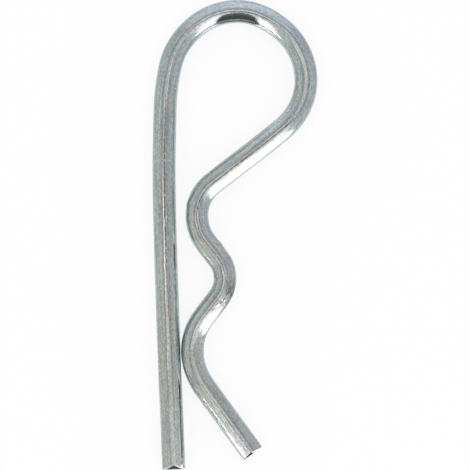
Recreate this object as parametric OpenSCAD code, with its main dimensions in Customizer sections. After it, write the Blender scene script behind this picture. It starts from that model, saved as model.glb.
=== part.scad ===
// Hitch pin clip, also called an R clip: one length of round spring wire, bent flat.
// A straight leg passes through the cross hole of a pin. The wire then turns round an open eye
// and comes back as a wavy spring leg, whose hollow, the seat, wraps half round the outside of the pin.
//
// Frame: the clip lies flat, the middle of the wire is at Z = 0 and the straight leg runs along Y at X = 0.
// The origin is the centre of the pin that the clip holds. +Y points to the eye, +X to the spring leg.

/* [Wire] */
// Diameter of the spring wire
wire_d = 4; // [3:0.25:5]
// Edge broken off each sheared end, measured along and across the wire
end_break = 0.2; // [0.1:0.05:0.5]

/* [Pin that it holds] */
// Diameter of the pin whose cross hole takes the straight leg
pin_d = 16; // [14:0.5:22]
// Room between the pin and the crest of the seat; the slopes beside the crest do the gripping
seat_clearance = 0.2; // [0.1:0.1:1.5]

/* [Straight leg] */
// Length of the straight leg below the centre of the pin
leg_below_pin = 33.1; // [26:0.1:60]

/* [Eye] */
// Inside radius of the slack bow that leads out of the straight leg
bow_inside_r = 376; // [250:1:420]
// Angle that the bow turns through
bow_turn = 4; // [3:0.1:4.5]
// Inside radius of the shoulder, between the bow and the crown
shoulder_inside_r = 36.6; // [20:0.1:50]
// Angle that the shoulder turns through
shoulder_turn = 11.1; // [6:0.1:18]
// Inside radius of the crown, the round top of the eye
crown_inside_r = 9.9; // [8:0.1:16]
// Angle that the crown turns through
crown_turn = 168.7; // [150:0.1:180]
// Inside radius of the heel, the lower corner of the eye
heel_inside_r = 8.8; // [6:0.1:14]

/* [Neck and waist] */
// Lean of the neck, from the straight leg's own direction
neck_lean = 54.6; // [45:0.1:65]
// Inside radius of the waist, where the neck turns down beside the straight leg
waist_inside_r = 5.3; // [3:0.1:8]
// Gap between the waist and the straight leg, too narrow for the pin to ride on past the seat
waist_gap = 1.7; // [0.5:0.1:2.5]

/* [Seat] */
// Lean of the slope above the seat
rise_lean = 34.6; // [25:0.1:45]
// Inside radius of the seat at its crest
seat_inside_r = 3.3; // [2:0.1:5]
// Lean of the slope below the seat
fall_lean = 39.4; // [30:0.1:50]

/* [Pinch and tail] */
// Inside radius of the pinch, where the spring leg comes back to the straight leg
pinch_inside_r = 8; // [5:0.1:10]
// Gap left at the pinch; on the real clip the two legs just touch there
legs_gap = 0.05; // [0.05:0.05:1]
// Lean of the tail, which flares out to lead the pin in
tail_lean = 33.7; // [20:0.1:50]
// Length of the straight part of the tail
tail_len = 14.8; // [6:0.1:30]

/* [Hidden] */

$fa = 4;
$fs = 0.4;

zinc = [0.74, 0.77, 0.79];

// Neighbouring lengths of wire lap by this much, and every second one is a hair thinner in radius,
// so that they fuse at a clean step and not along two skins that only just touch
lap = 0.1;
hair = 0.005;

// Radii to the middle of the wire
wire_r = wire_d / 2;
bow_r = bow_inside_r + wire_r;
shoulder_r = shoulder_inside_r + wire_r;
crown_r = crown_inside_r + wire_r;
heel_r = heel_inside_r + wire_r;
waist_r = waist_inside_r + wire_r;
seat_r = seat_inside_r + wire_r;
pinch_r = pinch_inside_r + wire_r;

// Where the middle of the wire stands at the three crests of the spring leg, across from the straight leg
waist_x = wire_d + waist_gap;
seat_x = pin_d / 2 + seat_clearance + wire_r;
pinch_x = wire_d + legs_gap;

// One piece of the route is [length, radius, turn]. Turns are in degrees, clockwise seen from above.
function straight(length) = [length, 0, 0];
function bend(radius, turn) = [radius * abs(turn) * PI / 180, radius, turn];

// A place on the route is [x, y, heading], with the heading clockwise from +Y.
// This is the place at the far end of a piece that starts at the place given.
function beyond(place, piece) =
    let (
        x = place[0],
        y = place[1],
        heading = place[2],
        r = sign(piece[2]) * piece[1],
        next = heading + piece[2]
    )
    piece[2] == 0
        ? [x + piece[0] * sin(heading), y + piece[0] * cos(heading), heading]
        : [x + r * (cos(heading) - cos(next)), y + r * (sin(next) - sin(heading)), next];

// The place at the far end of the first count pieces of a chain
function chain_end(place, pieces, count) =
    count == 0 ? place : beyond(chain_end(place, pieces, count - 1), pieces[count - 1]);

// How far a bend moves sideways between its crest and the point where it has leaned over by an angle
function bulge(radius, lean) = radius * (1 - cos(lean));

// Length of the slope between two crests, one at the inner and one at the outer distance from the straight leg
function slope_len(outer_x, outer_r, inner_x, inner_r, lean) =
    (outer_x - bulge(outer_r, lean) - inner_x - bulge(inner_r, lean)) / sin(lean);

// The eye turns right round until the wire heads back down at the neck's lean
heel_turn = 180 + neck_lean - bow_turn - shoulder_turn - crown_turn;
eye = [
    bend(bow_r, bow_turn),
    bend(shoulder_r, shoulder_turn),
    bend(crown_r, crown_turn),
    bend(heel_r, heel_turn),
];
eye_end = chain_end([0, 0, 0], eye, len(eye));

// The neck is as long as it takes to bring the waist to its gap
neck_len = (eye_end[0] - waist_x - bulge(waist_r, neck_lean)) / sin(neck_lean);
rise_len = slope_len(seat_x, seat_r, waist_x, waist_r, rise_lean);
fall_len = slope_len(seat_x, seat_r, pinch_x, pinch_r, fall_lean);
spring_leg = [
    straight(neck_len),
    bend(waist_r, -(neck_lean + rise_lean)),
    straight(rise_len),
    bend(seat_r, rise_lean + fall_lean),
    straight(fall_len),
    bend(pinch_r, -(fall_lean + tail_lean)),
    straight(tail_len - end_break),
];

// The straight leg reaches up from the pin as far as it takes to bring the seat's crest level with the pin
pieces_before_seat = 3;
seat_start = chain_end(eye_end, spring_leg, pieces_before_seat);
leg_above_pin = seat_r * sin(rise_lean) - seat_start[1];

route = concat([straight(leg_below_pin - end_break + leg_above_pin)], eye, spring_leg);
last = len(route) - 1;
leg_tip = [0, end_break - leg_below_pin, 0];
places = [for (i = 0, p = leg_tip; i <= last; p = beyond(p, route[i]), i = i + 1) p];

// A length of wire that runs along +Y from the origin, or bends away from it, and reaches on at each end
module wire(piece, d, before, after) {
    radius = piece[1];
    turn = piece[2];
    if (turn == 0) {
        rotate([-90, 0, 0])
            translate([0, 0, -before])
                cylinder(d = d, h = piece[0] + before + after);
    } else {
        before_angle = before / radius * 180 / PI;
        after_angle = after / radius * 180 / PI;
        translate([sign(turn) * radius, 0, 0])
            rotate_extrude(
                start = turn > 0 ? 180 - turn - after_angle : -before_angle,
                angle = before_angle + abs(turn) + after_angle
            )
                translate([radius, 0])
                    circle(d = d);
    }
}

// The broken edge of a sheared end, which points along +Y
module sheared_end(d) {
    rotate([-90, 0, 0])
        cylinder(d1 = d, d2 = d - 2 * end_break, h = end_break);
}

module hitch_clip() {
    color(zinc)
        for (i = [0 : last]) {
            thin = i % 2 == 1;
            d = thin ? wire_d - 2 * hair : wire_d;
            translate([places[i][0], places[i][1], 0])
                rotate(-places[i][2]) {
                    wire(route[i], d, thin ? lap : 0, thin && i < last ? lap : 0);
                    if (i == 0)
                        rotate(180) sheared_end(d);
                    if (i == last)
                        translate([0, route[i][0], 0]) sheared_end(d);
                }
        }
}

hitch_clip();
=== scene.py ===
# %% [markdown]
# # A hitch pin clip in bent wire
# The object is one length of 4 mm spring wire, bent flat and then plated with zinc. A straight leg goes
# through the cross hole of a pin, an open eye is there to pull it by, and a wavy spring leg wraps round the
# outside of the pin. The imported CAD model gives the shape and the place. This script builds the wire again
# with the things that make it look real: rounded, sheared ends, bends that flatten a little and stray from
# perfect arcs, tool marks, and the drawn and plated surface.

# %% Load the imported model
import math

import bpy
import numpy as np
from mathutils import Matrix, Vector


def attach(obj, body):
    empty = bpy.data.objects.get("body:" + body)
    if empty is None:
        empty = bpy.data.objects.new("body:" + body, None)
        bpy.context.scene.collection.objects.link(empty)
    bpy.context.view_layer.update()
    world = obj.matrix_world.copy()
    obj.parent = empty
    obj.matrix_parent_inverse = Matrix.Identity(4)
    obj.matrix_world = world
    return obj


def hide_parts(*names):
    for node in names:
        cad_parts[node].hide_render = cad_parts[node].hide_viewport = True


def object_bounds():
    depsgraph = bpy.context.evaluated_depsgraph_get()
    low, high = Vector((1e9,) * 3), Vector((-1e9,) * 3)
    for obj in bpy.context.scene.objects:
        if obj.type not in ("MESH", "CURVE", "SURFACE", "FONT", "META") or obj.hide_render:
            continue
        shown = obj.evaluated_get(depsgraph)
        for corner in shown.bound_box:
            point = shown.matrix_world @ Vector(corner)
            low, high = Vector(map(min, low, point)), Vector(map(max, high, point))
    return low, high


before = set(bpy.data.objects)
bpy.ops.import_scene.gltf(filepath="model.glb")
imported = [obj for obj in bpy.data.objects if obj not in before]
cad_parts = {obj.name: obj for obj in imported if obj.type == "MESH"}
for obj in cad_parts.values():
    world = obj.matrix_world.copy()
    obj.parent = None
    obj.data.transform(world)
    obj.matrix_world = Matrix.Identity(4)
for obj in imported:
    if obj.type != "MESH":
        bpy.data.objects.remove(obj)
cad_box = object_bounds()
print("CAD box in mm:", [[round(1000 * value, 2) for value in corner] for corner in cad_box])

# %% [markdown]
# ## The sizes
# A maker of such a clip works from a few sizes: the wire, the inside radius and the turn of each bend, and
# what the spring leg has to clear. They are the ones of the CAD source, in metres. What lies between two
# bends isn't stated: it is as long as it takes to join them, and a later cell works that out.

# %% Sizes of the clip
MM = 0.001
WIRE_D = 4 * MM
WIRE_R = WIRE_D / 2
LEG_BELOW_PIN = 33.1 * MM
BOW_R, BOW_TURN = 376 * MM + WIRE_R, 4
SHOULDER_R, SHOULDER_TURN = 36.6 * MM + WIRE_R, 11.1
CROWN_R, CROWN_TURN = 9.9 * MM + WIRE_R, 168.7
HEEL_R = 8.8 * MM + WIRE_R
NECK_LEAN = 54.6
WAIST_R, WAIST_GAP = 5.3 * MM + WIRE_R, 1.7 * MM
RISE_LEAN = 34.6
SEAT_R, PIN_R, SEAT_CLEARANCE = 3.3 * MM + WIRE_R, 8 * MM, 0.2 * MM
FALL_LEAN = 39.4
PINCH_R, LEGS_GAP = 8 * MM + WIRE_R, 0.05 * MM
TAIL_LEAN, TAIL_LEN = 33.7, 14.8 * MM
print(f"{WIRE_D / MM:.0f} mm wire for a {2 * PIN_R / MM:.0f} mm pin")

# %% [markdown]
# ## The camera
# The photograph looks straight down on the clip, from far enough away that there is hardly any perspective.
# A long lens over the clip gives that. One pixel of the 470 pixel picture is 0.174 mm on the clip, and the
# clip lies turned a little to the left in it.

# %% Camera
PICTURE_SIDE = 470
PIXEL = 0.174 * MM
CAMERA_HEIGHT = 0.6
SENSOR_WIDTH = 36
VIEW_CENTRE = (12.2 * MM, 7.2 * MM)
CLIP_ROLL = 2.18

camera_data = bpy.data.cameras.new("camera_above")
camera_data.sensor_width = SENSOR_WIDTH
camera_data.lens = SENSOR_WIDTH * CAMERA_HEIGHT / (PICTURE_SIDE * PIXEL)
camera_data.clip_start = 0.01
camera = bpy.data.objects.new("camera_above", camera_data)
camera.location = (VIEW_CENTRE[0], VIEW_CENTRE[1], CAMERA_HEIGHT)
camera.rotation_euler = (0, 0, math.radians(-CLIP_ROLL))
bpy.context.scene.collection.objects.link(camera)
bpy.context.scene.camera = camera
print(f"lens {camera_data.lens:.0f} mm, picture {1000 * PICTURE_SIDE * PIXEL:.1f} mm wide")

# %% [markdown]
# ## The route of the wire
# The middle of the wire follows straight lengths and round bends, one after another. So the route is a
# chain: each piece has a length, a radius and a turn, and starts where the last one ended. This is how the
# CAD source and a wire-bending machine see it too.

# %% Pieces of the route


def straight(length):
    return (length, 0, 0)


def bend(radius, turn):
    return (radius * math.radians(abs(turn)), radius, turn)


def beyond(place, piece, share=1):
    """The place (x, y, heading) after a share of a piece.

    Headings and turns are in degrees, clockwise from +Y.
    """
    x, y, heading = place
    length, radius, turn = piece
    start = math.radians(heading)
    if turn == 0:
        run = share * length
        return (x + run * math.sin(start), y + run * math.cos(start), heading)
    after = heading + share * turn
    reach = math.copysign(radius, turn)
    x += reach * (math.cos(start) - math.cos(math.radians(after)))
    y += reach * (math.sin(math.radians(after)) - math.sin(start))
    return (x, y, after)


def chain_end(place, pieces):
    for piece in pieces:
        place = beyond(place, piece)
    return place


def bulge(radius, lean):
    """How far a bend moves sideways between its crest and the point where it has leaned over."""
    return radius * (1 - math.cos(math.radians(lean)))


def slope(outer_x, outer_r, inner_x, inner_r, lean):
    """The straight length between an outer and an inner crest."""
    sideways = outer_x - bulge(outer_r, lean) - inner_x - bulge(inner_r, lean)
    return straight(sideways / math.sin(math.radians(lean)))


# %% [markdown]
# The waist, the seat and the pinch are three crests at stated distances from the straight leg. The neck and
# the slopes are as long as it takes to reach them. The straight leg is as long as it takes to bring the
# seat's crest level with the pin, whose centre is the origin.

# %% Join the pieces
PIECES_BEFORE_SEAT = 3
waist_x = WIRE_D + WAIST_GAP
seat_x = PIN_R + SEAT_CLEARANCE + WIRE_R
pinch_x = WIRE_D + LEGS_GAP

eye = [bend(BOW_R, BOW_TURN), bend(SHOULDER_R, SHOULDER_TURN), bend(CROWN_R, CROWN_TURN)]
eye.append(bend(HEEL_R, 180 + NECK_LEAN - BOW_TURN - SHOULDER_TURN - CROWN_TURN))
eye_end = chain_end((0, 0, 0), eye)
neck_sideways = eye_end[0] - waist_x - bulge(WAIST_R, NECK_LEAN)
spring_leg = [
    straight(neck_sideways / math.sin(math.radians(NECK_LEAN))),
    bend(WAIST_R, -(NECK_LEAN + RISE_LEAN)),
    slope(seat_x, SEAT_R, waist_x, WAIST_R, RISE_LEAN),
    bend(SEAT_R, RISE_LEAN + FALL_LEAN),
    slope(seat_x, SEAT_R, pinch_x, PINCH_R, FALL_LEAN),
    bend(PINCH_R, -(FALL_LEAN + TAIL_LEAN)),
    straight(TAIL_LEN),
]
seat_start = chain_end(eye_end, spring_leg[:PIECES_BEFORE_SEAT])
leg_above_pin = SEAT_R * math.sin(math.radians(RISE_LEAN)) - seat_start[1]
route = [straight(LEG_BELOW_PIN + leg_above_pin)] + eye + spring_leg
ROUTE_START = (0, -LEG_BELOW_PIN, 0)
wire_length = sum(piece[0] for piece in route)
print(f"{len(route)} pieces, {1000 * wire_length:.1f} mm of wire")

# %% [markdown]
# ## A line for the wire to follow
# The sweep needs a line with points where the cross-sections go. They stand close together at the two ends,
# where the section shrinks to the rounded edge and closes over the sheared face, and evenly between. Each
# point also carries what the sweep has to know there: how far along the wire it is, how sharply the wire
# bends, and how much of the section is left.

# %% Points of the line
RING_STEP = 0.28 * MM
END_ZONE = 1.2 * MM
END_RINGS = 14
END_CROWDING = 1.6
FACE_CROWN = 0.02 * MM
# The rings that close a sheared face, as shares of the full section
FACE_RINGS = (0.04, 0.2, 0.4, 0.6, 0.8, 0.93)


def stations():
    """(distance along the wire, share of the section) for every ring, from the leg's tip to the tail."""
    end = []
    for share in FACE_RINGS:
        end.append((FACE_CROWN * share, share))
    for step in range(1, END_RINGS + 1):
        end.append((FACE_CROWN + END_ZONE * (step / END_RINGS) ** END_CROWDING, 1))
    first, last = end[-1][0], wire_length - end[-1][0]
    count = round((last - first) / RING_STEP)
    middle = [(first + (last - first) * i / count, 1) for i in range(1, count)]
    return end + middle + [(wire_length - along, share) for along, share in reversed(end)]


def place_at(along):
    """The place on the route, and its curvature, signed as the turn."""
    place = ROUTE_START
    for piece in route:
        if along <= piece[0] or piece is route[-1]:
            curvature = math.copysign(1 / piece[1], piece[2]) if piece[2] else 0
            return beyond(place, piece, along / piece[0]), curvature
        place = beyond(place, piece)
        along -= piece[0]


rings = stations()
places = [place_at(along) for along, share in rings]
line = bpy.data.meshes.new("route_line")
line_points = [(x, y, 0) for (x, y, turned), bent in places]
line_edges = [(i, i + 1) for i in range(len(rings) - 1)]
line.from_pydata(line_points, line_edges, [])
print(f"{len(rings)} rings along the wire")

# %% [markdown]
# A bend in real wire doesn't start at a point, so the curvature is smoothed over a wire diameter or so
# before the sweep uses it. Without that the flattening would show as a step. Wire off a coil also isn't bent
# to perfect arcs: the top of the eye stands 0.2 mm further out than the arc of the CAD model, and the other
# places stray by less. These small distances were read off the wire's outline in the photograph, and are
# smoothed in the same way.

# %% What each point carries
along = np.array([ring[0] for ring in rings])
share = np.array([ring[1] for ring in rings])
curvature = np.array([bent for place, bent in places])
heading = np.radians([place[2] for place, bent in places])
SMOOTH_OVER = 1.5 * MM
# (distance along the wire, how far it strays to the right of its own heading), both in millimetres
STRAYS = [
    (0, 0.02), (12, 0.0), (20, -0.05), (30, -0.01), (42, 0.03), (54, -0.05), (61, -0.02), (68, -0.07),
    (77, -0.04), (83, -0.21), (88, -0.22), (91.5, 0.0), (94, 0.08), (98, 0.0), (105, -0.05), (108, 0.0),
    (113, 0.14), (119, 0.0), (126, 0.04), (130, 0.0), (134, 0.1), (138.5, -0.03), (141.5, 0.07), (145, -0.03),
    (149, 0.0), (153, -0.12), (156, -0.11), (159.5, 0.04), (165, 0.04), (171, 0.16), (176, 0.12), (184, 0.1),
]


def smoothed(values):
    weights = np.exp(-0.5 * ((along[:, None] - along[None, :]) / SMOOTH_OVER) ** 2)
    return weights @ values / weights.sum(axis=1)


curvature = smoothed(curvature)
stray_at, stray_by = zip(*STRAYS)
stray = MM * smoothed(np.interp(along / MM, stray_at, stray_by))
mid = np.array([[x, y, 0] for (x, y, turned), bent in places])
mid += stray[:, None] * np.column_stack((np.cos(heading), -np.sin(heading), np.zeros(len(along))))
line.vertices.foreach_set("co", mid.astype(np.float32).ravel())

for name, values in (("along", along), ("share", share), ("curvature", curvature)):
    line.attributes.new(name, "FLOAT", "POINT").data.foreach_set("value", values.astype(np.float32))
wire_line = bpy.data.objects.new("wire_line", line)
bpy.context.scene.collection.objects.link(wire_line)
print(f"the wire strays by {np.abs(stray).max() / MM:.2f} mm at most")

# %% [markdown]
# ## A helper for node trees
# Materials and Geometry Nodes are both trees of nodes. One helper adds a node, sets it up and fills its
# inputs, either with a value or with a wire from another node. It keeps the cells below short.

# %% Node helper


def add(tree, kind, inputs=None, **settings):
    made = tree.nodes.new(kind)
    made.location = (220 * (len(tree.nodes) % 9), -260 * (len(tree.nodes) // 9))
    for name, value in settings.items():
        setattr(made, name, value)
    for socket, value in (inputs or {}).items():
        if isinstance(value, bpy.types.NodeSocket):
            tree.links.new(value, made.inputs[socket])
        else:
            made.inputs[socket].default_value = value
    return made


def maths(tree, operation, *values):
    """A Math node's output. The values are numbers or other nodes' outputs."""
    return add(tree, "ShaderNodeMath", dict(enumerate(values)), operation=operation).outputs[0]


def vector_maths(tree, operation, *values):
    return add(tree, "ShaderNodeVectorMath", dict(enumerate(values)), operation=operation).outputs[0]


def scaled_by(tree, vector, factor):
    """A vector or a colour times one number."""
    return add(tree, "ShaderNodeVectorMath", {0: vector, "Scale": factor}, operation="SCALE").outputs[0]


def socket(tree, name, kind, value=None, output=False, low=None, high=None):
    """A named input or output of a group."""
    made = tree.interface.new_socket(name, in_out="OUTPUT" if output else "INPUT", socket_type=kind)
    if value is not None:
        made.default_value = value
    if low is not None:
        made.min_value = low
        made.max_value = high
    return made


def print_tree(tree):
    """Says what a finished tree takes in."""
    items = [item for item in tree.interface.items_tree if item.item_type == "SOCKET"]
    taken = [item.name for item in items if item.in_out == "INPUT"]
    print(f"{tree.name}: {len(tree.nodes)} nodes, inputs {', '.join(taken)}")


# %% [markdown]
# ## Streaks from the drawing die
# Wire is made by pulling it through a round die, which leaves fine lines along it. The zinc then covers
# them without filling them. The pattern is a noise that is stretched along the wire. It is read from
# "rod_place", an attribute that says where each point lay on the wire while it was still a straight rod, so
# the lines follow every bend and have no seam. The lines are a group, because the wire and its sheared ends
# both use them, each with its own values.

# %% Group: drawn lines
drawn_lines = bpy.data.node_groups.new("drawn_lines", "ShaderNodeTree")
socket(drawn_lines, "Rod Place", "NodeSocketVector")
socket(drawn_lines, "Lines per Millimetre", "NodeSocketFloat", 6.0, low=0.1, high=50)
socket(drawn_lines, "Stretch", "NodeSocketFloat", 20.0, low=1, high=500)
socket(drawn_lines, "Mask", "NodeSocketFloat", output=True)

inputs = drawn_lines.nodes.new("NodeGroupInput").outputs
per_metre = maths(drawn_lines, "MULTIPLY", inputs["Lines per Millimetre"], 1000)
along_scale = maths(drawn_lines, "DIVIDE", per_metre, inputs["Stretch"])
scale = add(drawn_lines, "ShaderNodeCombineXYZ", {"X": per_metre, "Y": per_metre, "Z": along_scale})
stretched = vector_maths(drawn_lines, "MULTIPLY", inputs["Rod Place"], scale.outputs[0])
noise = {"Vector": stretched, "Scale": 1.0, "Detail": 2.0, "Roughness": 0.6}
lines = add(drawn_lines, "ShaderNodeTexNoise", noise).outputs["Fac"]
add(drawn_lines, "NodeGroupOutput", {"Mask": lines})
print_tree(drawn_lines)

# %% [markdown]
# ## Pits and specks
# The plating has small dark pits, a tenth of a millimetre across, more of them where the blade pressed on
# the sheared ends. A Voronoi pattern has one point per cell. Only the cells whose random colour passes a
# limit get a pit, so the limit sets how many there are.

# %% Group: pits
plating_pits = bpy.data.node_groups.new("plating_pits", "ShaderNodeTree")
socket(plating_pits, "Rod Place", "NodeSocketVector")
socket(plating_pits, "Cells per Millimetre", "NodeSocketFloat", 2.0, low=0.1, high=50)
socket(plating_pits, "Share of Cells", "NodeSocketFloat", 0.1, low=0, high=1)
socket(plating_pits, "Pit Size", "NodeSocketFloat", 0.25, low=0.01, high=1)
socket(plating_pits, "Mask", "NodeSocketFloat", output=True)

inputs = plating_pits.nodes.new("NodeGroupInput").outputs
per_metre = maths(plating_pits, "MULTIPLY", inputs["Cells per Millimetre"], 1000)
scaled = scaled_by(plating_pits, inputs["Rod Place"], per_metre)
cells = add(plating_pits, "ShaderNodeTexVoronoi", {"Vector": scaled, "Scale": 1.0})
pick = add(plating_pits, "ShaderNodeSeparateColor", {0: cells.outputs["Color"]}).outputs[0]
chosen = maths(plating_pits, "LESS_THAN", pick, inputs["Share of Cells"])
pit_edges = maths(plating_pits, "DIVIDE", cells.outputs["Distance"], inputs["Pit Size"])
closeness = maths(plating_pits, "SUBTRACT", 1, pit_edges)
pit = maths(plating_pits, "MULTIPLY", chosen, maths(plating_pits, "MAXIMUM", closeness, 0))
add(plating_pits, "NodeGroupOutput", {"Mask": pit})
print_tree(plating_pits)

# %% [markdown]
# ## Painted dark lines and worn strips
# Narrow strips darken the wire. Along its top this is painted reflection: the dark lines that bright wire
# shows where it mirrors the dark camera above it. Rolls straighten the wire before it is bent and the bending
# tool slides along it, and where they rubbed the metal some strips are dull as well. A strip lies at one
# place across the wire, on its upper side, and between two places along it. It fades at its edges and ends,
# and a noise breaks it up into dashes.

# %% Group: strip for painted dark lines and wear
DASHES_PER_METRE = (5000, 5000, 1500)

painted_line_and_wear_strip = bpy.data.node_groups.new("painted_line_and_wear_strip", "ShaderNodeTree")
socket(painted_line_and_wear_strip, "Rod Place", "NodeSocketVector")
socket(painted_line_and_wear_strip, "Across", "NodeSocketFloat", 0.0, low=-0.01, high=0.01)
socket(painted_line_and_wear_strip, "Half Width", "NodeSocketFloat", 0.0001, low=0.00001, high=0.01)
socket(painted_line_and_wear_strip, "Start", "NodeSocketFloat", 0.0, low=0, high=10)
socket(painted_line_and_wear_strip, "End", "NodeSocketFloat", 0.1, low=0, high=10)
socket(painted_line_and_wear_strip, "Fade", "NodeSocketFloat", 0.001, low=0.0001, high=0.1)
socket(painted_line_and_wear_strip, "Mask", "NodeSocketFloat", output=True)

inputs = painted_line_and_wear_strip.nodes.new("NodeGroupInput").outputs
rod = add(painted_line_and_wear_strip, "ShaderNodeSeparateXYZ", {0: inputs["Rod Place"]}).outputs
off = maths(painted_line_and_wear_strip, "ABSOLUTE", maths(painted_line_and_wear_strip, "SUBTRACT", rod["X"], inputs["Across"]))
# The strip is whole up to half of its half width, and gone at one and a half
beside = maths(painted_line_and_wear_strip, "SUBTRACT", 1.5, maths(painted_line_and_wear_strip, "DIVIDE", off, inputs["Half Width"]))
from_start = maths(painted_line_and_wear_strip, "SUBTRACT", rod["Z"], inputs["Start"])
after_start = maths(painted_line_and_wear_strip, "DIVIDE", from_start, inputs["Fade"])
to_end = maths(painted_line_and_wear_strip, "SUBTRACT", inputs["End"], rod["Z"])
before_end = maths(painted_line_and_wear_strip, "DIVIDE", to_end, inputs["Fade"])
inside = maths(painted_line_and_wear_strip, "MINIMUM", beside, maths(painted_line_and_wear_strip, "MINIMUM", after_start, before_end))
inside = maths(painted_line_and_wear_strip, "MAXIMUM", 0, maths(painted_line_and_wear_strip, "MINIMUM", 1, inside))
inside = maths(painted_line_and_wear_strip, "MULTIPLY", inside, maths(painted_line_and_wear_strip, "GREATER_THAN", rod["Y"], 0))
scaled = vector_maths(painted_line_and_wear_strip, "MULTIPLY", inputs["Rod Place"], DASHES_PER_METRE)
noise = add(painted_line_and_wear_strip, "ShaderNodeTexNoise", {"Vector": scaled, "Scale": 1.0, "Detail": 1.0}).outputs["Fac"]
dashes = add(painted_line_and_wear_strip, "ShaderNodeMapRange", {"Value": noise, "From Min": 0.35, "From Max": 0.5}).outputs[0]
add(painted_line_and_wear_strip, "NodeGroupOutput", {"Mask": maths(painted_line_and_wear_strip, "MULTIPLY", inside, dashes)})
print_tree(painted_line_and_wear_strip)

# %% [markdown]
# The strips of this clip are placed where the photograph shows them. The first five are thin dark lines: on
# the straight leg, on the neck, below the seat, and two on the tail. The four along the wire's top are
# painted reflection. The last two are wider and dull as well: one on the side of the slope below the seat,
# and one along the tail.

# %% Painted dark lines and wear on this clip
# Across, half width, start, end and fade in millimetres, then how dark the painted line is and how dull
PAINTED_LINES_AND_WEAR = [
    (0.18, 0.08, 24, 66, 4, 0.5, 0),
    (-0.06, 0.09, 112, 136, 1, 0.86, 0),
    (0.0, 0.07, 149, 158, 1, 0.7, 0),
    (0.12, 0.06, 168, 183.5, 1, 0.6, 0),
    (1.55, 0.06, 168, 183, 2, 0.5, 0),
    (-1.35, 1.0, 148.5, 155.5, 2.5, 0.7, 1),
    (1.0, 0.6, 166, 185, 3, 0.3, 0.5),
]
STRIP_INPUTS = ("Across", "Half Width", "Start", "End", "Fade")


def placed(tree, group, rod_place, values):
    """The mask of a group, placed in a material with its own values."""
    return add(tree, "ShaderNodeGroup", {"Rod Place": rod_place, **values}, node_tree=group).outputs["Mask"]


def painted_lines_and_dullness(tree, rod_place):
    """How dark the strips' painted reflection makes the wire, and how dull their wear makes it."""
    painted_dark_and_groove, dull = 0, 0
    for *strip_sizes, darkness, dullness in PAINTED_LINES_AND_WEAR:
        sizes = {name: size * MM for name, size in zip(STRIP_INPUTS, strip_sizes)}
        strip = placed(tree, painted_line_and_wear_strip, rod_place, sizes)
        # The darkness is painted reflection, put into the colour as dark lines
        painted_dark_and_groove = maths(tree, "MAXIMUM", painted_dark_and_groove, maths(tree, "MULTIPLY", strip, darkness))
        dull = maths(tree, "MAXIMUM", dull, maths(tree, "MULTIPLY", strip, dullness))
    return painted_dark_and_groove, dull


print(f"{len(PAINTED_LINES_AND_WEAR)} worn strips")

# %% [markdown]
# ## The passivation film
# Zinc plate gets a thin, clear, bluish film. Up close it gives faint patches of blue, green, straw and rose,
# and away from the crown it is a little more straw-coloured all over. A slow noise through a colour ramp
# makes the patches. All the colours are near white, because the zinc is multiplied by them.

# %% Tints of the film
PATCHES_PER_METRE = (600, 600, 200)
# Values of the noise, and the film's colour there: blue, green, straw and rose
FILM_TINTS = [
    (0.30, (0.965, 0.992, 1.035, 1)),
    (0.45, (0.985, 1.005, 1.005, 1)),
    (0.57, (1.012, 1.01, 0.97, 1)),
    (0.72, (1.02, 0.99, 0.99, 1)),
]
# Where the crown's middle lies along the wire, and how far from it the straw tint begins and is full
CROWN_MIDDLE = 90 * MM
STRAW_BEGINS, STRAW_FULL = 22 * MM, 35 * MM
STRAW = (1.01, 0.972, 0.935, 1)


def film_tints(tree, rod_place):
    scaled = vector_maths(tree, "MULTIPLY", rod_place, PATCHES_PER_METRE)
    noise = {"Vector": scaled, "Scale": 1.0, "Detail": 2.0, "Roughness": 0.5}
    ramp = add(tree, "ShaderNodeValToRGB", {"Fac": add(tree, "ShaderNodeTexNoise", noise).outputs["Fac"]})
    stops = ramp.color_ramp.elements
    stops[0].position, stops[0].color = FILM_TINTS[0]
    stops[1].position, stops[1].color = FILM_TINTS[-1]
    for position, colour in FILM_TINTS[1:-1]:
        stops.new(position).color = colour
    from_crown = add(tree, "ShaderNodeSeparateXYZ", {0: rod_place}).outputs["Z"]
    from_crown = maths(tree, "ABSOLUTE", maths(tree, "SUBTRACT", from_crown, CROWN_MIDDLE))
    reach = {"Value": from_crown, "From Min": STRAW_BEGINS, "From Max": STRAW_FULL}
    straw = add(tree, "ShaderNodeMapRange", reach).outputs[0]
    straw = add(tree, "ShaderNodeMix", {0: straw, 6: (1, 1, 1, 1), 7: STRAW}, data_type="RGBA").outputs[2]
    return vector_maths(tree, "MULTIPLY", ramp.outputs["Color"], straw)


print(f"{len(FILM_TINTS)} tints, straw from {STRAW_BEGINS / MM:.0f} mm off the crown's middle")

# %% [markdown]
# ## Zinc plate on drawn wire
# Bright zinc is a fairly sharp mirror, with a cool grey colour. Short flecks and long drawn lines change
# both the colour and, through a Bump node, the way that the surface faces. The bump is what breaks up the
# reflections into fine lines, as in the photograph. Where the wire turns away from the eye the plating
# throws back less light, so the shader gets a rim tint, which keeps the outline dark.

# %% Material: zinc-plated wire
ZINC = (0.640, 0.728, 0.765)
RIM_TINT = (0.53, 0.58, 0.6, 1)
FLECKS = {"Lines per Millimetre": 5.5, "Stretch": 2.6}
LONG_LINES = {"Lines per Millimetre": 3.2, "Stretch": 26.0}
PITS = {"Cells per Millimetre": 2.2, "Pit Size": 0.34}
PIT_DARKNESS, PIT_DEPTH = 0.8, 0.5
LINE_GROOVE_DEPTH = 0.8
DULL_ROUGHNESS = 0.22
SPECKS_PER_METRE = (3600, 3600, 1200)
SPECK_SHARE = 0.14


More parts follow.
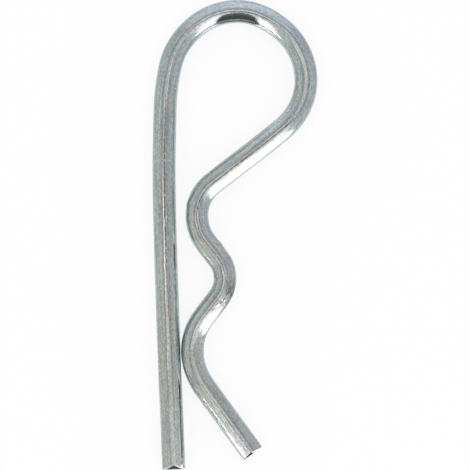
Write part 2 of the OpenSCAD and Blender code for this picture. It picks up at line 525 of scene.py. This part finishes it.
def zinc_material(name, line_bump, contrast, pit_share, roughness):
    material = bpy.data.materials.new(name)
    material.use_nodes = True
    tree = material.node_tree
    tree.nodes.clear()
    rod_place = add(tree, "ShaderNodeAttribute", attribute_name="rod_place").outputs["Vector"]
    flecks = placed(tree, drawn_lines, rod_place, FLECKS)
    long_lines = placed(tree, drawn_lines, rod_place, LONG_LINES)
    pit = placed(tree, plating_pits, rod_place, {**PITS, "Share of Cells": pit_share})
    painted_dark_and_groove, dull = painted_lines_and_dullness(tree, rod_place)

    mixed = maths(tree, "ADD", maths(tree, "MULTIPLY", flecks, 0.6), maths(tree, "MULTIPLY", long_lines, 0.4))
    limits = {"Value": mixed, "From Min": 0.36, "From Max": 0.64}
    tones = {**limits, "To Min": 1 - contrast, "To Max": 1 + contrast}
    tone = add(tree, "ShaderNodeMapRange", tones).outputs[0]
    pit_tone = maths(tree, "SUBTRACT", 1, maths(tree, "MULTIPLY", pit, PIT_DARKNESS))
    tone = maths(tree, "MULTIPLY", tone, pit_tone)
    # Painted reflection: the strips darken the zinc's colour in dark lines
    tone = maths(tree, "MULTIPLY", tone, maths(tree, "SUBTRACT", 1, painted_dark_and_groove))
    roughs = {**limits, "To Min": 1.3 * roughness, "To Max": 0.7 * roughness}
    rough = add(tree, "ShaderNodeMapRange", roughs).outputs[0]
    rough = maths(tree, "ADD", rough, maths(tree, "MULTIPLY", dull, DULL_ROUGHNESS))

    # The specks stay round a middle grey, so the zinc's colour is doubled to make up for it
    scaled = vector_maths(tree, "MULTIPLY", rod_place, SPECKS_PER_METRE)
    specks = add(tree, "ShaderNodeTexNoise", {"Vector": scaled, "Scale": 1.0, "Detail": 1.0}).outputs["Color"]
    faint = {0: SPECK_SHARE, 6: (0.5, 0.5, 0.5, 1), 7: specks}
    speckle = add(tree, "ShaderNodeMix", faint, data_type="RGBA").outputs[2]
    doubled_zinc = tuple(2 * value for value in ZINC)
    tinted = vector_maths(tree, "MULTIPLY", film_tints(tree, rod_place), doubled_zinc)
    colour = scaled_by(tree, vector_maths(tree, "MULTIPLY", tinted, speckle), tone)

    height = maths(tree, "SUBTRACT", mixed, maths(tree, "MULTIPLY", pit, PIT_DEPTH))
    height = maths(tree, "SUBTRACT", height, maths(tree, "MULTIPLY", painted_dark_and_groove, LINE_GROOVE_DEPTH))
    relief = {"Strength": 1.0, "Distance": line_bump, "Height": height}
    bump = add(tree, "ShaderNodeBump", relief).outputs[0]
    metal = {"Base Color": colour, "Metallic": 1.0, "Roughness": rough, "Normal": bump}
    surface = add(tree, "ShaderNodeBsdfPrincipled", {**metal, "Specular Tint": RIM_TINT})
    add(tree, "ShaderNodeOutputMaterial", {"Surface": surface.outputs[0]})
    return material


zinc_wire = zinc_material("zinc_on_drawn_wire", 0.009 * MM, contrast=0.34, pit_share=0.14, roughness=0.07)
zinc_cut = zinc_material("zinc_on_sheared_face", 0.04 * MM, contrast=0.25, pit_share=0.35, roughness=0.30)
print("materials", zinc_wire.name, "and", zinc_cut.name)

# %% [markdown]
# ## The sweep
# A round section moved along a line is what Geometry Nodes do well, and the wire is just that. The tree
# takes the line, sweeps a circle along it, and then puts every point in its place from what it carries. Two
# rules make it look like bent, sheared wire. In a bend the outside stretches and gets thinner, so the
# section flattens there. At a sheared end the blade presses the top edge down, so it is well rounded, while
# the sides and the underside stay nearly sharp.

# %% Geometry Nodes: bent wire
sweep = bpy.data.node_groups.new("bent_wire", "GeometryNodeTree")
sweep.is_modifier = True
socket(sweep, "Line", "NodeSocketGeometry")
socket(sweep, "Wire Diameter", "NodeSocketFloat", 0.004, low=0, high=0.1)
socket(sweep, "Wire Length", "NodeSocketFloat", 0.1, low=0, high=10)
socket(sweep, "Sides", "NodeSocketInt", 72, low=8, high=256)
socket(sweep, "Bend Flattening", "NodeSocketFloat", 0.04, low=0, high=0.3)
socket(sweep, "Edge Round Top", "NodeSocketFloat", 0.0008, low=0, high=0.01)
socket(sweep, "Tail Edge Round Top", "NodeSocketFloat", 0.0004, low=0, high=0.01)
socket(sweep, "Edge Round Side", "NodeSocketFloat", 0.0002, low=0, high=0.01)
socket(sweep, "Face Relief", "NodeSocketFloat", 0.00005, low=0, high=0.001)
socket(sweep, "Seed", "NodeSocketFloat", 1.0, low=0, high=1000)
socket(sweep, "Wire Material", "NodeSocketMaterial")
socket(sweep, "Face Material", "NodeSocketMaterial")
socket(sweep, "Mesh", "NodeSocketGeometry", output=True)
given = sweep.nodes.new("NodeGroupInput").outputs


def store(geometry, name, value, kind="FLOAT_VECTOR"):
    stored = add(sweep, "GeometryNodeStoreNamedAttribute", data_type=kind, domain="POINT")
    stored.inputs["Name"].default_value = name
    sweep.links.new(geometry, stored.inputs["Geometry"])
    sweep.links.new(value, stored.inputs["Value"])
    return stored.outputs[0]


def carried(name, kind="FLOAT"):
    named = add(sweep, "GeometryNodeInputNamedAttribute", data_type=kind)
    named.inputs["Name"].default_value = name
    return named.outputs["Attribute"]


position = sweep.nodes.new("GeometryNodeInputPosition").outputs[0]
tangent = sweep.nodes.new("GeometryNodeInputTangent").outputs[0]
curve = add(sweep, "GeometryNodeMeshToCurve", {"Mesh": given["Line"]}).outputs[0]
curve = add(sweep, "GeometryNodeSetCurveNormal", {"Curve": curve}, mode="Z_UP").outputs[0]
curve = store(store(curve, "mid", position), "ahead", tangent)
wire_radius = maths(sweep, "MULTIPLY", given["Wire Diameter"], 0.5)
circle_sizes = {"Resolution": given["Sides"], "Radius": wire_radius}
circle = add(sweep, "GeometryNodeCurvePrimitiveCircle", circle_sizes).outputs["Curve"]
circle = store(circle, "section", position)
swept = {"Curve": curve, "Profile Curve": circle, "Fill Caps": True}
swept = add(sweep, "GeometryNodeCurveToMesh", swept).outputs[0]
print_tree(sweep)

# %% [markdown]
# The tree goes on with where each point of the section belongs. "rounding" is how far the edge is rounded at
# that side of the wire, and "inset" is how much that takes off the radius near the end. In a bend the outer
# side gets thinner by the full squeeze, the inner side by a fifth of it, and the wire swells up a little.

# %% Geometry Nodes: the section's own shape
section = add(sweep, "ShaderNodeSeparateXYZ", {0: carried("section", "FLOAT_VECTOR")}).outputs
across = maths(sweep, "DIVIDE", section["X"], wire_radius)
upward = maths(sweep, "DIVIDE", section["Y"], wire_radius)
top_share = maths(sweep, "POWER", maths(sweep, "MAXIMUM", upward, 0), 4)
distance_along = carried("along")
at_tail = maths(sweep, "GREATER_THAN", distance_along, maths(sweep, "MULTIPLY", given["Wire Length"], 0.5))
tail_extra = maths(sweep, "SUBTRACT", given["Tail Edge Round Top"], given["Edge Round Top"])
top_round = maths(sweep, "ADD", given["Edge Round Top"], maths(sweep, "MULTIPLY", at_tail, tail_extra))
side_to_top = {"To Min": given["Edge Round Side"], "To Max": top_round}
rounding = add(sweep, "ShaderNodeMapRange", {"Value": top_share, **side_to_top}).outputs[0]

to_far_end = maths(sweep, "SUBTRACT", given["Wire Length"], distance_along)
to_end = maths(sweep, "MINIMUM", distance_along, to_far_end)
into_round = maths(sweep, "MAXIMUM", maths(sweep, "SUBTRACT", rounding, to_end), 0)
rounding_squared = maths(sweep, "MULTIPLY", rounding, rounding)
chord = maths(sweep, "SUBTRACT", rounding_squared, maths(sweep, "MULTIPLY", into_round, into_round))
inset = maths(sweep, "SUBTRACT", rounding, maths(sweep, "SQRT", maths(sweep, "MAXIMUM", chord, 0)))
inset_left = maths(sweep, "SUBTRACT", 1, maths(sweep, "DIVIDE", inset, wire_radius))
left = maths(sweep, "MULTIPLY", carried("share"), inset_left)

tightness = maths(sweep, "MULTIPLY", carried("curvature"), given["Wire Diameter"])
squeeze = maths(sweep, "MULTIPLY", maths(sweep, "ABSOLUTE", tightness), given["Bend Flattening"])
inner_side = maths(sweep, "MULTIPLY", maths(sweep, "SIGN", tightness), across)
thinner = maths(sweep, "SUBTRACT", 0.6, maths(sweep, "MULTIPLY", inner_side, 0.4))
across_scale = maths(sweep, "SUBTRACT", 1, maths(sweep, "MULTIPLY", squeeze, thinner))
up_scale = maths(sweep, "ADD", 1, maths(sweep, "MULTIPLY", squeeze, 0.2))
print(f"the section's shape takes the tree to {len(sweep.nodes)} nodes")

# %% [markdown]
# Each point then goes sideways and up from the middle of the wire by the section's shape. Its place on the
# straight rod is kept as "rod_place" for the materials. The sheared faces get a little relief from a noise,
# and a material of their own.

# %% Geometry Nodes: put the points in place
ahead = carried("ahead", "FLOAT_VECTOR")
to_right = vector_maths(sweep, "CROSS_PRODUCT", ahead, (0, 0, 1))
section_x = maths(sweep, "MULTIPLY", section["X"], left)
section_y = maths(sweep, "MULTIPLY", section["Y"], left)
sideways = scaled_by(sweep, to_right, maths(sweep, "MULTIPLY", section_x, across_scale))
upwards = add(sweep, "ShaderNodeCombineXYZ", {"Z": maths(sweep, "MULTIPLY", section_y, up_scale)}).outputs[0]
moved = vector_maths(sweep, "ADD", carried("mid", "FLOAT_VECTOR"), sideways)
place = vector_maths(sweep, "ADD", moved, upwards)
swept = add(sweep, "GeometryNodeSetPosition", {"Geometry": swept, "Position": place}).outputs[0]
rod_place = {"X": section_x, "Y": section_y, "Z": distance_along}
rod_place = add(sweep, "ShaderNodeCombineXYZ", rod_place).outputs[0]
swept = store(swept, "rod_place", rod_place)

on_face = maths(sweep, "LESS_THAN", carried("share"), 0.99)
noise = {"Vector": carried("rod_place", "FLOAT_VECTOR"), "W": given["Seed"], "Scale": 1500.0, "Detail": 3.0}
fracture = add(sweep, "ShaderNodeTexNoise", noise, noise_dimensions="4D").outputs["Fac"]
lift = maths(sweep, "MULTIPLY", maths(sweep, "SUBTRACT", fracture, 0.5), given["Face Relief"])
push = {"Selection": on_face, "Offset": scaled_by(sweep, ahead, lift)}
swept = add(sweep, "GeometryNodeSetPosition", {"Geometry": swept, **push}).outputs[0]
swept = add(sweep, "GeometryNodeSetShadeSmooth", {"Geometry": swept}).outputs[0]
swept = add(sweep, "GeometryNodeRealizeInstances", {"Geometry": swept}).outputs[0]
wire_paint = {"Material": given["Wire Material"]}
swept = add(sweep, "GeometryNodeSetMaterial", {"Geometry": swept, **wire_paint}).outputs[0]
face_paint = {"Selection": on_face, "Material": given["Face Material"]}
swept = add(sweep, "GeometryNodeSetMaterial", {"Geometry": swept, **face_paint}).outputs[0]
add(sweep, "NodeGroupOutput", {"Mesh": swept})
print(f"{sweep.name} is finished, with {len(sweep.nodes)} nodes")

# %% [markdown]
# ## From the tree to a plain mesh
# The modifier's inputs are set by their identifiers, the modifier is evaluated once, and the result is kept
# as a plain mesh. The line and its modifier then go.

# %% Make the wire
modifier = wire_line.modifiers.new("bent_wire", "NODES")
modifier.node_group = sweep
WIRE_VALUES = {
    "Wire Diameter": WIRE_D,
    "Wire Length": wire_length,
    "Sides": 72,
    "Bend Flattening": 0.04,
    "Edge Round Top": 0.8 * MM,
    "Tail Edge Round Top": 0.4 * MM,
    "Edge Round Side": 0.2 * MM,
    "Face Relief": 0.08 * MM,
    "Seed": 3.0,
    "Wire Material": zinc_wire,
    "Face Material": zinc_cut,
}
for item in sweep.interface.items_tree:
    if item.item_type == "SOCKET" and item.in_out == "INPUT" and item.name in WIRE_VALUES:
        modifier[item.identifier] = WIRE_VALUES[item.name]

evaluated = wire_line.evaluated_get(bpy.context.evaluated_depsgraph_get())
wire_mesh = bpy.data.meshes.new_from_object(evaluated)
wire_mesh.name = "hitch_clip_wire"
bpy.data.objects.remove(wire_line)
wire = bpy.data.objects.new("hitch_clip_wire", wire_mesh)
bpy.context.scene.collection.objects.link(wire)
print(f"{len(wire_mesh.vertices)} points, {len(wire_mesh.polygons)} faces")

# %% [markdown]
# ## Tool marks
# The bending tools and the bin have left small dents. Each is a soft hollow at a place along the wire and
# at an angle round it: 0 is the top, 90 the right-hand side of the wire's heading, -90 the left. They are
# real hollows in the mesh, so they also show in the outline.

# %% Press the dents
DENTS = [
    # along, angle, depth, half length, half width (millimetres and degrees)
    (35.6, -25, 0.05, 0.5, 0.35), (36.6, -31, 0.04, 0.7, 0.25), (43.0, 12, 0.05, 0.35, 0.35),
    (43.8, 18, 0.04, 0.5, 0.25), (95.2, 20, 0.02, 0.4, 0.3), (88.4, -62, 0.06, 1.2, 0.5),
    (92.6, -70, 0.05, 0.8, 0.4), (134.7, 66, 0.12, 0.6, 0.6), (141.9, -70, 0.08, 0.5, 0.5),
    (143.3, -80, 0.10, 0.6, 0.6), (146.1, -70, 0.08, 0.6, 0.5), (148.2, 68, 0.12, 0.5, 0.5),
    (151.4, 35, 0.05, 0.4, 0.3), (155.0, -15, 0.02, 0.5, 0.3), (160.6, -58, 0.07, 0.6, 0.4),
    (163.4, 5, 0.05, 0.5, 0.25), (169.6, 84, 0.08, 0.6, 0.6), (172.4, 80, 0.07, 0.7, 0.6),
    (174.9, 84, 0.08, 0.5, 0.6), (177.3, 80, 0.07, 0.6, 0.6), (0.9, 48, 0.05, 0.3, 0.3),
    (4.2, -40, 0.05, 0.9, 0.3), (15.2, -78, 0.06, 1.5, 0.5),
]

count = len(wire_mesh.vertices)
rod = np.empty(3 * count, np.float32)
wire_mesh.attributes["rod_place"].data.foreach_get("vector", rod)
rod = rod.reshape(count, 3) / MM
spots = np.empty(3 * count, np.float32)
wire_mesh.vertices.foreach_get("co", spots)
outward = np.empty(3 * count, np.float32)
wire_mesh.vertices.foreach_get("normal", outward)
round_angle = np.degrees(np.arctan2(rod[:, 0], rod[:, 1]))
depth = np.zeros(count)
for dent_along, dent_angle, dent_depth, half_length, half_width in DENTS:
    off = (round_angle - dent_angle + 180) % 360 - 180
    off_round = np.radians(off) * WIRE_R / MM
    lengthwise = ((rod[:, 2] - dent_along) / half_length) ** 2
    depth += dent_depth * np.exp(-lengthwise - (off_round / half_width) ** 2)
spots = spots.reshape(count, 3) - (depth * MM)[:, None] * outward.reshape(count, 3)
wire_mesh.vertices.foreach_set("co", spots.astype(np.float32).ravel())
wire_mesh.update()
print(f"{len(DENTS)} dents, the deepest {depth.max():.2f} mm")

# %% [markdown]
# ## The table
# The clip lies on a glossy white table. Most of the white in the picture is a glow that only the camera and
# reflections see, so it lights nothing, and the rest is a real surface, which keeps the clip's shadow. In
# the wire's own reflection, low along the table, it works as a mirror for what stands round it, so it gets
# more gloss there.

# %% Table
FLOOR_Z = cad_box[0][2] - 0.03 * MM
FLOOR_REACH = 3.0
SEEN_GLOW = 0.78
CAMERA_MORE = 0.08


def glowing(tree, colour, strength=1.0):
    return add(tree, "ShaderNodeEmission", {"Color": colour, "Strength": strength}).outputs[0]


floor_paint = bpy.data.materials.new("white_table")
floor_paint.use_nodes = True
floor_paint.cycles.emission_sampling = "NONE"
tree = floor_paint.node_tree
tree.nodes.clear()
rays = tree.nodes.new("ShaderNodeLightPath").outputs
seen = maths(tree, "MAXIMUM", rays["Is Camera Ray"], rays["Is Glossy Ray"])
seen = maths(tree, "MAXIMUM", seen, rays["Is Transmission Ray"])
white = add(tree, "ShaderNodeBsdfPrincipled", {"Base Color": (0.98, 0.98, 0.98, 1), "Roughness": 0.25})
camera_more = maths(tree, "MULTIPLY", rays["Is Camera Ray"], CAMERA_MORE)
glow_share = maths(tree, "ADD", maths(tree, "MULTIPLY", seen, SEEN_GLOW), camera_more)
plain = add(tree, "ShaderNodeMixShader", {0: glow_share, 1: white.outputs[0], 2: glowing(tree, (1, 1, 1, 1))})
mirror = add(tree, "ShaderNodeBsdfAnisotropic", {"Color": (0.95, 0.95, 0.95, 1), "Roughness": 0.12})
facing = add(tree, "ShaderNodeLayerWeight", {"Blend": 0.5}).outputs["Facing"]
grazing = {"Value": facing, "From Min": 0.25, "From Max": 0.5, "To Max": 0.95}
grazing = add(tree, "ShaderNodeMapRange", grazing).outputs[0]
mirror_share = maths(tree, "MULTIPLY", grazing, rays["Is Glossy Ray"])
table_top = add(tree, "ShaderNodeMixShader", {0: mirror_share, 1: plain.outputs[0], 2: mirror.outputs[0]})
add(tree, "ShaderNodeOutputMaterial", {"Surface": table_top.outputs[0]})

floor_mesh = bpy.data.meshes.new("white_table")
corners = [(-1, -1), (1, -1), (1, 1), (-1, 1)]
floor_mesh.from_pydata([(x * FLOOR_REACH, y * FLOOR_REACH, FLOOR_Z) for x, y in corners], [], [(0, 1, 2, 3)])
floor_mesh.materials.append(floor_paint)
floor = bpy.data.objects.new("white_table", floor_mesh)
bpy.context.scene.collection.objects.link(floor)
print(f"table at Z = {FLOOR_Z / MM:.2f} mm")

# %% [markdown]
# ## The paper tube
# Bright metal shows its surroundings more than itself. Here they are a tube of white paper that stands round
# the clip and reaches up to the camera. Two tall lamps behind the paper, at the near side, give the white
# patches on the wire, and the opening between them is dark. Opening and lamps get narrower upward, and the
# two lamps aren't quite alike. The tube stands close, so each part of the wire sees the lamps at another
# angle, as in the photograph. Each point of the paper carries its own glow, worked out from where it is by a
# few rules. Their sizes were found by trial against the photograph. They are in millimetres from the middle
# of the tube's foot, and in degrees as seen from the clip's round eye, from where the paper was laid out.

# %% Sizes and glow of the paper
TUBE_H = 600
# The middle of the clip's round eye, from the middle of the tube's foot
EYE_AT = (1, 33)
# Glow of the lamps, where 1 is white
LAMP = 1.6
# Round the tube: degrees anticlockwise from the clip's own +X, and the glow there
ROUND_TUBE = [
    (-180, 0.56), (-165, 0.56), (-150, 0.57), (-140, 0.62), (-110, 0.85), (-80, 0.76), (-66, 0.80),
    (-48, 0.84), (-44, 0.62), (-30, 0.53), (0, 0.50), (36, 0.50), (39, 0.46), (43, 0.60), (60, 0.71),
    (118, 0.71), (128, 0.68), (134, 0.52), (150, 0.54), (180, 0.56),
]
# From straight overhead outward, in degrees, and the glow there
OVERHEAD = [(0, 0.70), (8, 0.70), (12, 0.57), (16, 0.47), (20, 0.42), (25, 0.38), (30, 0.39)]
# The middle of the opening between the lamps, in degrees round the tube
OPENING_AT = -93.5
# Degrees from overhead, half the width of the opening, half the width out to the far sides of the lamps,
# the opening's glow and the lamps' glow
OPENING = [
    (14, 0.1, 22, 0.60, 0.70),
    (17.5, 7, 28, 0.30, 0.88),
    (24, 15, 34, 0.18, 1.0),
    (32, 19.5, 36.5, 0.145, 1.45),
    (42, 20.5, 38, 0.11, LAMP),
    (56, 22.2, 40, 0.08, LAMP),
    (72, 23.5, 41.5, 0.08, LAMP),
    (86, 25.5, 45, 0.12, 1.9 * LAMP),
]
# The left lamp's far side stands this much further in over most of its height, and low down its near side
# too, where it also has only a share of the glow. The right lamp's far side stands further out high up.
LEFT_LAMP_LESS = 4
LEFT_LAMP_IN = 1.4
LEFT_LAMP_FOOT = 0.8
RIGHT_LAMP_MORE = 3
# How far off the paper stands in each direction from the tube's middle: it is a loose sheet, not a true round
PAPER_AT = [
    (-180, 150), (-160, 230), (-141, 272), (-123, 126), (-68, 119), (-38, 100), (0, 110), (40, 120),
    (130, 120), (180, 150),
]
distances = [far for at, far in PAPER_AT]
print(f"tube {TUBE_H} mm high, {min(distances)} to {max(distances)} mm off")

# %% [markdown]
# On the wall, the lamps and the opening lie over the paper's own glow. Along the two long sides the ceiling
# has a bright rim, with a dark seam under it.

# %% Lamps and rim
SEAM_FOOT, SEAM_GLOW = 480, 0.29
RIM_FOOT = TUBE_H - 30


def from_knots(knots, at, column=1):
    return float(np.interp(at, [knot[0] for knot in knots], [knot[column] for knot in knots]))


def wall_glow(azimuth, zenith, turned):
    """The wall's glow. "turned" is the angle from the middle of the opening, negative to the left."""
    inner, outer, dark, bright = (from_knots(OPENING, zenith, column) for column in (1, 2, 3, 4))
    if turned < 0:
        outer -= np.interp(zenith, [18, 26, 76, 84], [0, LEFT_LAMP_LESS, LEFT_LAMP_LESS, 0])
        inner -= np.interp(zenith, [45, 55], [0, LEFT_LAMP_IN])
        bright *= np.interp(zenith, [60, 86], [1, LEFT_LAMP_FOOT])
    else:
        outer += np.interp(zenith, [17, 24, 50, 60], [0, RIGHT_LAMP_MORE, RIGHT_LAMP_MORE, 0])
    edges = [inner - 1.5, inner + 1.5, outer - 1.5, outer + 3.5]
    return np.interp(abs(turned), edges, [dark, bright, bright, from_knots(ROUND_TUBE, azimuth)])


def with_rim(glow, x, y, z):
    """The glow with the bright rim and the seam over it, which fade out towards the clip's eye."""
    rim = np.interp(math.hypot(x, y), [60, 90], [glow, 1.0])
    if z < RIM_FOOT:
        rim = np.interp(z, [SEAM_FOOT, 500, 530, RIM_FOOT], [glow, SEAM_GLOW, SEAM_GLOW, rim])
    return np.interp(y, [15, 35], [rim, glow])


print(f"bright rim from {RIM_FOOT} mm up, seam from {SEAM_FOOT} mm")

# %% [markdown]
# The paper is bluish on the side of the clip's eye and straw-coloured at the near left, and the lamps are
# warm. The tints are red and blue as shares of green.

# %% Tint of the paper
PAPER_BLUE = 0.965
BLUISH_MORE = 0.115
STRAW_RED_MORE, STRAW_BLUE_LESS = 0.05, 0.08
CEILING_RED, CEILING_BLUE = 1.07, 0.98
LAMP_RED, LAMP_BLUE = 1.15, 0.97


def paper_tint(glow, azimuth, overhead):
    blueness = np.interp(azimuth, [-60, -30, 0, 60, 112, 125, 150], [0, 0.25, 0.8, 1, 1, 0.4, 0])
    straw = np.interp(azimuth, [-180, -150, -135, -110], [0, 0.7, 0.6, 0.2])
    wall_blue = PAPER_BLUE + BLUISH_MORE * blueness - STRAW_BLUE_LESS * straw
    red = (1.0 + STRAW_RED_MORE * straw) * (1 - overhead) + CEILING_RED * overhead
    blue = wall_blue * (1 - overhead) + CEILING_BLUE * overhead
    lit = np.interp(glow, [0.9, 1.3], [0, 1])
    return red + (LAMP_RED - red) * lit, blue + (LAMP_BLUE - blue) * lit


print("tint of the lamps:", [round(float(tint), 2) for tint in paper_tint(LAMP, OPENING_AT, 0)])

# %% [markdown]
# Overhead the paper is brighter again, inside a darker ring. The camera looks in through a dark hole in the
# ceiling, a little towards the clip's eye.

# %% Glow of the paper
LAMP_SIDES = 54
RIM_BEYOND = 60
CAMERA_HOLE_Y = 14
HOLE_R, HOLE_EDGE_R = 26, 40
HOLE_GLOW = 0.02


def paper_glow(x, y, z):
    """Colour of the paper's glow at a place."""
    run = math.hypot(x - EYE_AT[0], y - EYE_AT[1])
    azimuth = math.degrees(math.atan2(y - EYE_AT[1], x - EYE_AT[0]))
    zenith = math.degrees(math.atan2(run, z))
    turned = (azimuth - OPENING_AT + 180) % 360 - 180
    wall = wall_glow(azimuth, zenith, turned)
    # The ceiling's glow gives way to the wall's, and sooner over the lamps
    overhead = np.interp(zenith, [10, 14] if abs(turned) < LAMP_SIDES else [27, 46], [1, 0])
    top = from_knots(OVERHEAD, zenith)
    # It has a brighter patch on the side away from the lamps
    if 60 < azimuth < 115:
        top *= np.interp(zenith, [5, 9, 12, 16], [1, 1.35, 1.35, 1])
    glow = wall + (top - wall) * overhead
    if z > SEAM_FOOT and abs(turned) > RIM_BEYOND:
        glow = with_rim(glow, x, y, z)
    glow = np.interp(math.hypot(x, y - CAMERA_HOLE_Y), [HOLE_R, HOLE_EDGE_R], [HOLE_GLOW, glow])
    red, blue = paper_tint(glow, azimuth, overhead)
    return (float(glow * red), float(glow), float(glow * blue), 1.0)


print("glow of the wall on the +X side, half way up:", [round(value, 2) for value in paper_glow(110, 0, 300)])

# %% [markdown]
# The tube is a mesh of points in rows: over the ceiling from its middle outward, then down the wall. The
# glow is stored on the points. Only reflections see the paper, from inside. The table gets its light from
# the white room outside.

# %% Paper tube
GORE = 2
CEILING_ROWS = 16
WALL_STEP = 12
# Rows of points: (share of the way out, height)
rows = [(0.01 + 0.99 * i / CEILING_ROWS, TUBE_H) for i in range(CEILING_ROWS + 1)]
rows += [(1, TUBE_H - WALL_STEP * i) for i in range(1, TUBE_H // WALL_STEP + 1)]
gores = 360 // GORE
tube_points, tube_colours, tube_faces = [], [], []
for share_out, height in rows:
    for gore in range(gores):
        azimuth = gore * GORE - 180
        radius = share_out * from_knots(PAPER_AT, azimuth)
        x, y = radius * math.cos(math.radians(azimuth)), radius * math.sin(math.radians(azimuth))
        tube_points.append((VIEW_CENTRE[0] + x * MM, VIEW_CENTRE[1] + y * MM, FLOOR_Z + height * MM))
        tube_colours.append(paper_glow(x, y, height))
for row in range(len(rows) - 1):
    for gore in range(gores):
        here, after = row * gores + gore, row * gores + (gore + 1) % gores
        tube_faces.append((here, after, after + gores, here + gores))

tube_mesh = bpy.data.meshes.new("paper_tube")
tube_mesh.from_pydata(tube_points, [], tube_faces)
tube_mesh.color_attributes.new("glow", "FLOAT_COLOR", "POINT")
tube_mesh.color_attributes["glow"].data.foreach_set("color", np.array(tube_colours, np.float32).ravel())
print(f"tube of {len(tube_faces)} faces")

# %% [markdown]
# The paper's material is plain emission, so it shines with its own glow and takes no light. From outside the
# tube it shows as white as the room.

# %% Material: lit paper
paper = bpy.data.materials.new("lit_paper")
paper.use_nodes = True
paper.cycles.emission_sampling = "NONE"
tree = paper.node_tree
tree.nodes.clear()
paper_colour = add(tree, "ShaderNodeAttribute", attribute_name="glow").outputs["Color"]
outside = tree.nodes.new("ShaderNodeNewGeometry").outputs["Backfacing"]
two_sides = {0: outside, 1: glowing(tree, paper_colour), 2: glowing(tree, (1, 1, 1, 1))}
add(tree, "ShaderNodeOutputMaterial", {"Surface": add(tree, "ShaderNodeMixShader", two_sides).outputs[0]})
tube_mesh.materials.append(paper)
tube = bpy.data.objects.new("paper_tube", tube_mesh)
for ray_kind in ("camera", "diffuse", "shadow", "transmission", "volume_scatter"):
    setattr(tube, f"visible_{ray_kind}", False)
bpy.context.scene.collection.objects.link(tube)
print(f"{tube.name} is seen by reflections only")

# %% [markdown]
# ## The room
# The room round the table is plain white, which lights the table and the shadow on it evenly. The Standard
# view shows the colours as they are written.

# %% World
world = bpy.data.worlds.new("white_room")
world.use_nodes = True
world.node_tree.nodes["Background"].inputs["Color"].default_value = (1, 1, 1, 1)
world.node_tree.nodes["Background"].inputs["Strength"].default_value = 1.0
world.cycles.sampling_method = "NONE"
bpy.context.scene.world = world
bpy.context.scene.view_settings.view_transform = "Standard"
print("world", world.name)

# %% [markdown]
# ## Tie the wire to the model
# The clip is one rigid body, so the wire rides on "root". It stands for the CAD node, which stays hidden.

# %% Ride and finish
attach(wire, "root")
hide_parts("hitch_clip")
